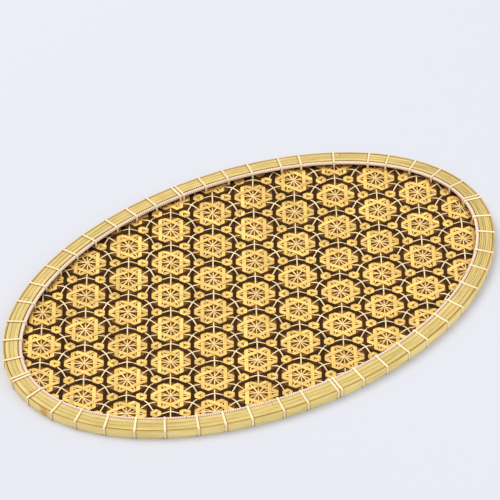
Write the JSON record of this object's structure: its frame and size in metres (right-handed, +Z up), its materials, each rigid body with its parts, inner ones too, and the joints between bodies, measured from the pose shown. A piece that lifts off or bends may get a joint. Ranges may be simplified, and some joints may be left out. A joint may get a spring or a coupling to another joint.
{
  "type": "woven bamboo tray",
  "caption": "Oval tray with a dished floor of bamboo woven in a hexagon flower pattern, held in a low rim of bent hoops bound with cane.",
  "frame": {"origin": "on the resting plane, under the middle of the tray", "axes": "+X along the long axis, +Y along the short axis, +Z up out of the tray"},
  "size_m": [0.44, 0.2859, 0.01],
  "materials": {
    "rim_skin_bamboo": "split bamboo with its yellow-green skin outwards, satin",
    "rim_core_bamboo": "split bamboo core, matt",
    "round_cane": "peeled round cane, pale, matt",
    "lashing_cane": "thin flat cane, pale, satin",
    "backing_mat": "smoked bamboo mat, matt",
    "pale_bamboo": "shaved bamboo strips, golden, satin",
    "dark_bamboo": "smoked dark bamboo strips, satin"
  },
  "bodies": {
    "root": {"outer_hoop": "rim_skin_bamboo", "core_hoop": "rim_core_bamboo", "base_hoop": "rim_core_bamboo", "inner_hoop": "rim_core_bamboo", "cover_strip_1": "rim_skin_bamboo", "cover_strip_2": "rim_skin_bamboo", "cover_strip_3": "rim_skin_bamboo", "inner_cane": "round_cane", "lashing_cane_1": "lashing_cane", "lashing_cane_2": "lashing_cane", "lashing_cane_3": "lashing_cane", "lashing_cane_4": "lashing_cane", "backing_mat": "backing_mat", "flower_net": "pale_bamboo", "dark_strip_long_1": "dark_bamboo", "dark_strip_long_2": "dark_bamboo", "dark_strip_long_3": "dark_bamboo", "dark_strip_long_4": "dark_bamboo", "dark_strip_long_5": "dark_bamboo", "dark_strip_long_6": "dark_bamboo", "dark_strip_long_7": "dark_bamboo", "dark_strip_left_1": "dark_bamboo", "dark_strip_left_2": "dark_bamboo", "dark_strip_left_3": "dark_bamboo", "dark_strip_left_4": "dark_bamboo", "dark_strip_left_5": "dark_bamboo", "dark_strip_left_6": "dark_bamboo", "dark_strip_left_7": "dark_bamboo", "dark_strip_left_8": "dark_bamboo", "dark_strip_left_9": "dark_bamboo", "dark_strip_left_10": "dark_bamboo", "dark_strip_right_1": "dark_bamboo", "dark_strip_right_2": "dark_bamboo", "dark_strip_right_3": "dark_bamboo", "dark_strip_right_4": "dark_bamboo", "dark_strip_right_5": "dark_bamboo", "dark_strip_right_6": "dark_bamboo", "dark_strip_right_7": "dark_bamboo", "dark_strip_right_8": "dark_bamboo", "dark_strip_right_9": "dark_bamboo", "dark_strip_right_10": "dark_bamboo"}
  },
  "joints": []
}
